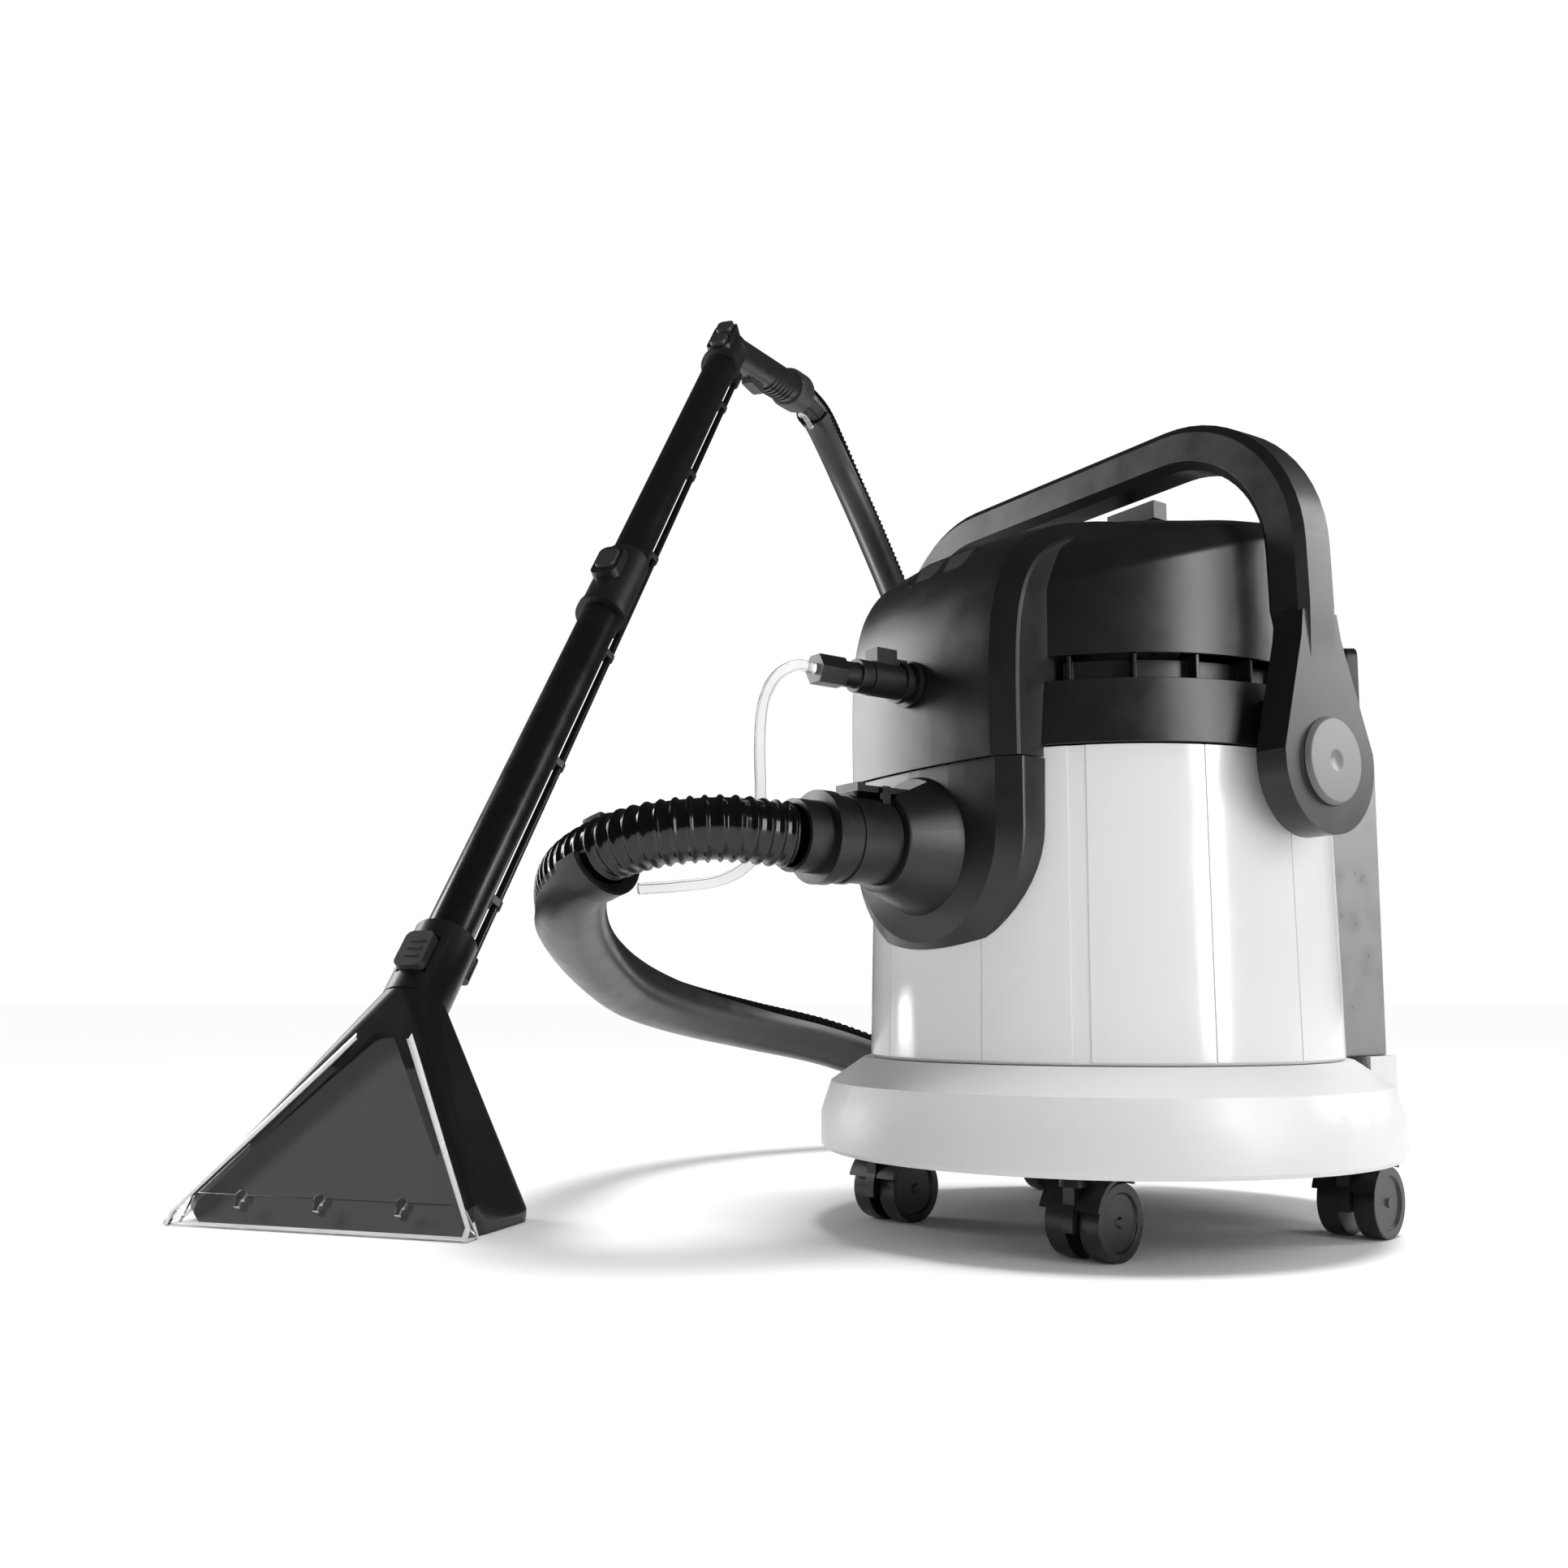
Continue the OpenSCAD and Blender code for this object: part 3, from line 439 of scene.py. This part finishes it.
# Routes as in the CAD model, in metres from the canister's axis
HOSE_ROUTE = [
    (0, -0.262, 0.249), (-0.012, -0.306, 0.251), (-0.044, -0.340, 0.246), (-0.092, -0.353, 0.234),
    (-0.142, -0.339, 0.220), (-0.215, -0.297, 0.202), (-0.295, -0.236, 0.182), (-0.370, -0.165, 0.164),
    (-0.435, -0.075, 0.148), (-0.475, 0.025, 0.132), (-0.485, 0.130, 0.112), (-0.470, 0.245, 0.075),
    (-0.465, 0.370, 0.044), (-0.490, 0.500, 0.032), (-0.550, 0.620, 0.032), (-0.645, 0.715, 0.064),
    (-0.745, 0.765, 0.150), (-0.835, 0.770, 0.290), (-0.905, 0.740, 0.450), (-0.955, 0.700, 0.620),
    (-0.992, 0.660, 0.780), (-1.018, 0.620, 0.900), (-1.026, 0.580, 0.980), (-1.014, 0.536, 1.030),
    (-0.990, 0.493, 1.053), (-0.962, 0.450, 1.055), (-0.937, 0.417, 1.048),
]
SPRAY_ROUTE = [
    (0, -0.245, 0.352), (0, -0.258, 0.352), (-0.004, -0.270, 0.344), (-0.010, -0.275, 0.328),
    (-0.018, -0.272, 0.304), (-0.026, -0.266, 0.280), (-0.031, -0.264, 0.256), (-0.033, -0.268, 0.236),
    (-0.038, -0.286, 0.224), (-0.052, -0.308, 0.220), (-0.072, -0.324, 0.219),
]
SPRAY_END_ROUTE = [(-0.980, 0.470, 1.026), (-0.962, 0.446, 1.028), (-0.945, 0.424, 1.022)]
# Side that the hose cover leaves open, at these points of the hose's route
COVER_FIRST, COVER_LAST = 2.5, 24.5
OPEN_SIDE = [(0, (-0.3, -0.7, 0.6)), (4, (-0.5, -0.8, 0.4)), (7, (0, -0.4, 0.9)), (10, (0.1, 0.1, 0.9)),
             (16, (-0.3, 0.9, 0.3)), (20, (0.5, 0.7, 0.1)), (26, (0.5, 0.7, 0.5))]


def in_mm(route):
    return [Vector(p) / MM for p in route]


def open_side(t):
    """Direction in which the hose cover is open at parameter t of the hose's route."""
    for (t0, a), (t1, b) in zip(OPEN_SIDE, OPEN_SIDE[1:]):
        if t <= t1:
            return Vector(a).lerp(Vector(b), (t - t0) / (t1 - t0))
    return Vector(OPEN_SIDE[-1][1])


def cover_outline(thick, start=60, end=300, step=10):
    """Open channel round the hose: bore, then the outer side, which bulges away from the opening."""
    bore, outer = HOSE_R + 0.8, HOSE_R + 3.4 + thick
    angles = list(range(start, end + 1, step))
    inner = [(bore * cos(a), bore * sin(a)) for a in angles]
    middle = (bore + outer) / 2
    lip = [(middle * cos(a) - 1, middle * sin(a) * 1.03) for a in (end + 3, start - 3)]
    skin = [(outer * cos(a) - 4 * min(1, max(0, 0.25 - cos(a))), outer * sin(a)) for a in reversed(angles)]
    return inner + [lip[0]] + skin + [lip[1]]


def plain_finish(obj, node):
    """Looks of a soft piece, with no rounded edges."""
    obj.data.shade_smooth()
    obj.data.materials.append(MATERIALS[slot_of[node]])
    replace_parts(obj, node)
    return obj


def make_hose():
    ribs_per_step = 8
    stations, length = walk(in_mm(HOSE_ROUTE), RIB_PITCH / ribs_per_step)

    def outline(j, t):
        crest = max(0, cos(360 * (j / ribs_per_step % 1 - 0.5)))
        return circle_outline(HOSE_R - RIB_HIGH + RIB_HIGH * crest, 28)

    hose = plain_finish(add_object("suction_hose_skin", sweep(stations, outline, open_side), CANISTER),
                        "suction_hose")
    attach(hose, "canister")

    covered = [s for s in stations[::4] if COVER_FIRST <= s[0] <= COVER_LAST]
    channel = sweep(covered, lambda j, t: cover_outline(0), open_side)
    clip = 5
    for end in (covered[:clip], covered[-clip:]):
        grow(channel, sweep(end, lambda j, t: cover_outline(1.6, 50, 310), open_side))
    cover = piece("hose_cover", channel, CANISTER, angle=50)


def make_spray_tube(node, route):
    stations, length = walk(in_mm(route), 2)
    bm = sweep(stations, lambda j, t: circle_outline(SPRAY_R, 20), lambda t: (0.3, 0.2, 1))
    tube = plain_finish(add_object(node + "_skin", bm, CANISTER), node)
    return tube


make_hose()
spray_tube = make_spray_tube("spray_tube", SPRAY_ROUTE)
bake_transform(spray_tube)
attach(make_spray_tube("spray_tube_end", SPRAY_END_ROUTE), "canister")

# ---------- head: front housing, cover, inlet housing ----------

# Middle line of the front housing in side view, (y, z)
SPINE_LINE = [(-168, 297.2), (-168.3, 330), (-167.5, 365), (-164, 392), (-155, 417), (-138, 438),
              (-110, 454), (-76, 464), (-45, 470), (0, 475), (45, 478), (90, 479)]
# Its section from the middle outwards: distance from the middle, distance inwards
SPINE_ACROSS = [(0, 0), (20, 0.4), (40, 1.7), (60, 3.9), (66.5, 5.0), (68, 6.0), (79, 15), (80, 17),
                (80, 58)]
SPINE_INSIDE = [(77, 58), (77, 19), (66, 9), (40, 5), (0, 3.2)]
SPRAY_Z = 352        # height of the spray coupling
SWITCH_PANEL = CANISTER @ shift(0, -139, 433) @ turn(47, "X")
COVER_R = 150


def mirrored(half):
    """Outline from one side to the other, from the points of its right half."""
    return [(-x, d) for x, d in reversed(half) if x > 0] + list(half)


def spine():
    """Shell of one section along the front housing's middle line."""
    stations, _ = walk([Vector((0, y, z)) for y, z in SPINE_LINE], 5)
    section = mirrored(SPINE_ACROSS) + list(reversed(mirrored(SPINE_INSIDE[::-1])))
    rings = []
    for j, (_, p) in enumerate(stations):
        a, b = stations[max(j - 1, 0)][1], stations[min(j + 1, len(stations) - 1)][1]
        along = (b - a).normalized()
        inward = Vector((0, along.z, -along.y))
        rings.append([p + Vector((x, 0, 0)) + depth * inward for x, depth in section])
    return loft(rings)


def switch_cutter():
    return add_object("cutter_panel", prism(rounded(59, 27, 9), -30, 40), SWITCH_PANEL)


def make_front():
    obj = add_object("head_front_skin", spine(), CANISTER)
    socket = add_object("cutter", disc(9.1, 9.1, 0, 60), front(-140, SPRAY_Z))
    cut(obj, [socket, switch_cutter()])
    finish_piece(obj, "head_front", 0.8, 20, 3)


def cover_ring(r, high, slope, n=128):
    """Level ring whose height follows the slope of the head's top."""
    points = [(r * sin(360 * i / n), -r * cos(360 * i / n)) for i in range(n)]
    return [(x, y, high + slope * y) for x, y in points]


def make_cover():
    rings = [cover_ring(COVER_R - 3, 360, 0), cover_ring(COVER_R, 360, 0), cover_ring(COVER_R, 378, 0.04),
             cover_ring(COVER_R - 0.3, 437, 0.275), cover_ring(COVER_R - 1.6, 441, 0.27),
             cover_ring(COVER_R - 9.4, 451, 0.205), cover_ring(COVER_R - 12, 453, 0.195),
             cover_ring(125, 458, 0.16), cover_ring(95, 465, 0.09), cover_ring(60, 469, 0.05),
             cover_ring(25, 471, 0.02), cover_ring(25, 468, 0.02), cover_ring(95, 462, 0.09),
             cover_ring(COVER_R - 12, 449, 0.195), cover_ring(COVER_R - 4, 437, 0.27)]
    obj = add_object("head_cover_skin", loft(rings, looped=True), CANISTER)
    cut(obj, [switch_cutter()])
    finish_piece(obj, "head_cover", 0.8, 24)


# Rings of the inlet housing from the container outwards: how much smaller, and how far forwards
FOOT_RINGS = [(0, -108), (0, -148), (0.7, -150), (12.5, -159.5), (13.5, -160.3), (30, -163), (50, -165),
              (75, -166)]
FOOT_HALF, FOOT_MIDDLE, FOOT_TOP = 81, 255, 296.5  # half width, height of the round foot's centre, top
CUFF_Z = 249         # height of the hose cuff's axis
CUFF_R = 26.6        # its bore in the housing
CONE = [(CUFF_R, 158), (45.5, 158), (45.5, 161), (44.5, 163), (32, 194.5), (31, 196), (28, 196.4),
        (CUFF_R, 196)]  # (radius, distance forwards of the canister's axis)


def foot_ring(smaller, y):
    """Ring of the inlet housing: flat top, straight sides, round foot."""
    r = FOOT_HALF - smaller
    points = [(r, FOOT_TOP)]
    points += [(r * cos(a), FOOT_MIDDLE + r * sin(a)) for a in range(0, -181, -6)]
    points += [(-r * k / 6, FOOT_TOP) for k in range(6, -6, -1)]
    return [(x, y, z) for x, z in points]


def make_inlet():
    obj = add_object("inlet_housing_skin", loft([foot_ring(d, y) for d, y in FOOT_RINGS]), CANISTER)
    cut(obj, [add_object("hollow", disc(CUFF_R, CUFF_R, 0, 120), front(-90, CUFF_Z)),
              add_object("can", disc(158.5, 154.5, 113, 304, 128), CANISTER)])
    cut(obj, [add_object("cone", lathe(CONE), front(0, CUFF_Z))], "UNION")
    cut(obj, [add_object("notch", block(-17, 17, -204, -170, 275, 305), CANISTER)])
    finish_piece(obj, "inlet_housing", 0.8, 24)


# ---------- carrying handle ----------


BAR_REACH, BAR_TOP = 174, 216      # the bow's half width and its height over the pivots
BAR_CORNER = 84                    # radius of its upper corners
BAR_DEEP, BAR_EDGE = 17, 5         # half its depth, and its chamfer
ARM_R, ARM_NECK = 44, 17           # the arm's round end, and half the width of its neck
ARM_X = (166, 186)                 # its inner and outer faces
SHAFT_R = 9.1


def bar_section(z):
    """Chamfered section of the bow, which grows wider above the arms."""
    w, h, c = (20 + 8 * min(1, max(0, (z - 62) / 30))) / 2, BAR_DEEP, BAR_EDGE
    return [(w, h - c), (w - c, h), (c - w, h), (-w, h - c),
            (-w, c - h), (c - w, -h), (w - c, -h), (w, c - h)]


def make_handle():
    place = CANISTER @ shift(0, 0, PIVOT_Z) @ turn(3, "X")
    path = [(BAR_REACH, z) for z in (62, 78, 95, 112)]
    path += [(BAR_REACH + BAR_CORNER * (cos(a) - 1), BAR_TOP + BAR_CORNER * (sin(a) - 1))
             for a in range(0, 91, 6)]
    path += [(60, BAR_TOP), (30, BAR_TOP)]
    path += [(0, BAR_TOP)] + [(-x, z) for x, z in reversed(path)]
    rings = []
    for j, (x, z) in enumerate(path):
        a, b = path[max(j - 1, 0)], path[min(j + 1, len(path) - 1)]
        along = Vector((b[0] - a[0], 0, b[1] - a[1])).normalized()
        out = Vector((along.z, 0, -along.x))
        middle = Vector((x + (2 if x > 0 else -2) * max(0, min(1, (92 - z) / 30)), -1, z))
        rings.append([middle + u * out + Vector((0, v, 0)) for u, v in bar_section(z)])
    obj = add_object("carry_handle_skin", loft(rings), place)
    outline = [(ARM_R * cos(a), ARM_R * sin(a)) for a in range(-184, 6, 6)]
    outline += [(ARM_R, 6), (20, 74), (ARM_NECK, 90), (-ARM_NECK, 90), (-20, 74), (-ARM_R, 6)]
    for side in (-1, 1):
        arm = loft([[(x * side, y - (1 if z > 40 else 0), z) for y, z in outline] for x in ARM_X])
        cut(obj, [add_object("arm", arm, place)], "UNION")
    cut(obj, [add_object("bore", disc(SHAFT_R, SHAFT_R, -200, 200), place @ turn(90, "Y"))])
    finish_piece(obj, "carry_handle", 1.0, 20, 3)


# ---------- wand ----------

CLIP_PLACES = (70, 240, 400, 570, 740, 900)  # distances from the nozzle's neck along the tubes
TUBE_R = 19
LINE_AT = (12, 22.6)                         # the rigid spray line, in the tubes' section
LINE_OUT, SADDLE_R = 25.6, 4.9               # its distance from the tubes' axis, and the saddle's radius
FACE_LEAN = 32                               # the nozzle's face, from the vertical
ON_FACE = WAND @ turn(90 - FACE_LEAN, "X")
# Near-white, mostly opaque clear plastic for the window's rim: the moulded edge is real, its brightness is
# a painted highlight for the glint along the cover's edges.
RIM_GLINT_MATERIAL = clear("window_rim", (0.97, 0.97, 0.97), 0.22, 0.3, 1.45)


def make_clips():
    """Small saddles that hold the rigid spray line against the tubes."""
    bm = bmesh.new()
    direction = math.degrees(math.atan2(LINE_AT[1], LINE_AT[0]))
    saddle = [(TUBE_R * cos(a), TUBE_R * sin(a)) for a in range(-16, 17, 4)]
    saddle += [(LINE_OUT + SADDLE_R * cos(a), SADDLE_R * sin(a)) for a in range(90, -91, -15)]
    for s in CLIP_PLACES:
        grow(bm, prism(saddle, 0, 8), on_tube(s) @ turn(direction, "Z"))
    piece("spray_line_clips", bm, Matrix(), 0.5)


def face_outline(grow_by, top, n=10):
    """Outline of the nozzle's face: straight foot, slanting sides, round top."""
    half, r, foot_high = 115.5 + grow_by, 22 + grow_by, 9
    middle = top - 22
    tilt = math.degrees(math.atan2(middle - foot_high, half)
                        + math.asin(r / math.hypot(half, middle - foot_high)))
    angles = [90 - tilt + tilt * k / n for k in range(n + 1)]
    arc = [(r * cos(a), middle + r * sin(a)) for a in angles]
    right = [(half, 0), (half, foot_high)] + arc
    return right + [(-x, y) for x, y in reversed(right) if x > 0.01]


def make_window_rim():
    """Thick moulded edge of the clear nozzle cover, in a milky white that is a painted highlight for the
    light its edges catch.
    """
    bm = bmesh.new()
    outer, inner = face_outline(0.4, 166), face_outline(-3.0, 163)
    for z0, z1 in ((1.2, 2.6), (-11.4, -10.2)):
        grow(bm, loft([[(x, y, z) for x, y in edge]
                       for edge, z in ((outer, z0), (outer, z1), (inner, z1), (inner, z0))], looped=True))
    obj = add_object("nozzle_window_rim", bm, ON_FACE)
    cut(obj, [add_object("below", block(-400, 400, -400, 400, -100, 0.4), WAND)])
    obj.data.shade_smooth()
    obj.data.materials.append(RIM_GLINT_MATERIAL)
    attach(obj, "canister")


make_front()
make_cover()
make_inlet()
make_handle()
make_clips()
make_window_rim()

# ---------- pieces that keep their CAD shape, with rounded edges ----------

CASTER_EDGE, SMALL_EDGE = 0.8, 0.3
EDGE = {
    "base_chassis": 1.2, "container": 0.8, "hose_cuff": 0.6, "cuff_latch": 0.5, "nozzle_body": 1.5,
    "nozzle_window": 0.8, "nozzle_button": 0.8, "coupling_button": 0.8, "tube_coupling": 1.0,
    "wand_handle": 1.2, "handle_button_lower": 0.8, "handle_button_upper": 0.8, "trigger": 1.2,
    "grip_collar": 1.0, "head_ring": 0.6, "pivot_pods": 0.6, "pivot_caps": 0.6, "spray_socket": 0.5,
    "spray_plug": 0.5, "cord_hooks": 1.0, "top_knob": 1.5, "fresh_tank": 1.5, "tank_cap": 1.0,
    "switch_bezel": 0.8, "switch_suction": 0.5, "switch_spray": 0.5, "lower_tube": 0.4, "upper_tube": 0.4,
}
done = {node for obj in bpy.data.objects for node in obj.get("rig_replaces", [])}
for node in frame["nodes"]:
    if node not in done:
        refined(node, CASTER_EDGE if node.startswith("caster") else EDGE.get(node, SMALL_EDGE))

# ---------- floor, light and surroundings ----------


FLOOR_R = 90000         # far enough to meet the horizon
GLOSS = 3.5             # how much stronger the softboxes are in glossy surfaces
AROUND = 0.30           # brightness of the surroundings as they light the object
AROUND_IN_GLOSS = 0.04  # and as glossy surfaces show them


def make_floor():
    bm = bmesh.new()
    bmesh.ops.create_circle(bm, cap_ends=True, segments=96, radius=FLOOR_R)
    obj = add_object("floor", bm, Matrix())
    n = Nodes("floor")
    n.link(n.mix(n.noise(1.5), (0.95, 0.95, 0.95), (0.955, 0.955, 0.955)), "Base Color")
    n.link(n.ramp(n.noise(12, 5.0), 0.85, 0.95), "Roughness")
    n.link(n.bump(n.noise(300, 3.0), 0.05, 0.0002), "Normal")
    n.set(Specular_IOR_Level=0.0)
    obj.data.materials.append(n.material)


def softbox(name, place, target, size, power):
    """Area light, in metres, that faces target, and a second one that only glossy surfaces show."""
    for part, energy in (("", power), ("_gloss", power * (GLOSS - 1))):
        light = bpy.data.lights.new(name + part, "AREA")
        light.shape = "RECTANGLE"
        light.size, light.size_y = size
        light.energy = energy
        obj = bpy.data.objects.new(name + part, light)
        obj.location = place
        obj.rotation_mode = "QUATERNION"
        obj.rotation_quaternion = (Vector(target) - Vector(place)).to_track_quat("-Z", "Y")
        obj.visible_diffuse = part == ""
        bpy.context.scene.collection.objects.link(obj)


def make_world():
    """White surroundings in the picture and through clear parts, dimmer as light and in gloss."""
    world = bpy.data.worlds.new("world")
    bpy.context.scene.world = world
    world.use_nodes = True
    tree = world.node_tree
    background = tree.nodes["Background"]
    background.inputs["Color"].default_value = (1, 1, 1, 1)
    rays = tree.nodes.new("ShaderNodeLightPath")
    strength = AROUND
    for ray, value in (("Is Glossy Ray", AROUND_IN_GLOSS), ("Is Transmission Ray", 1),
                       ("Is Camera Ray", 1)):
        mix = tree.nodes.new("ShaderNodeMix")
        tree.links.new(rays.outputs[ray], mix.inputs["Factor"])
        if isinstance(strength, bpy.types.NodeSocket):
            tree.links.new(strength, mix.inputs["A"])
        else:
            mix.inputs["A"].default_value = strength
        mix.inputs["B"].default_value = value
        strength = mix.outputs["Result"]
    tree.links.new(strength, background.inputs["Strength"])


axis = CANISTER.translation * MM
make_floor()
softbox("left", axis + Vector((-2.3, -1.2, 0.9)), axis + Vector((0, 0, 0.3)), (0.7, 1.6), 26)
softbox("right", axis + Vector((2.2, 0.2, 0.9)), axis + Vector((0, 0, 0.3)), (0.5, 1.6), 15)
softbox("back", axis + Vector((1.1, 2.2, 1.3)), axis + Vector((0, 0, 0.3)), (0.8, 1.2), 22)
sky = bpy.data.lights.new("sky", "SUN")
sky.energy = 2.3
sky.angle = math.radians(24)
overhead = bpy.data.objects.new("sky", sky)
overhead.rotation_euler = (math.radians(-6), math.radians(8), 0)
overhead.visible_glossy = False
bpy.context.scene.collection.objects.link(overhead)
make_world()
bpy.context.scene.view_settings.view_transform = "Standard"
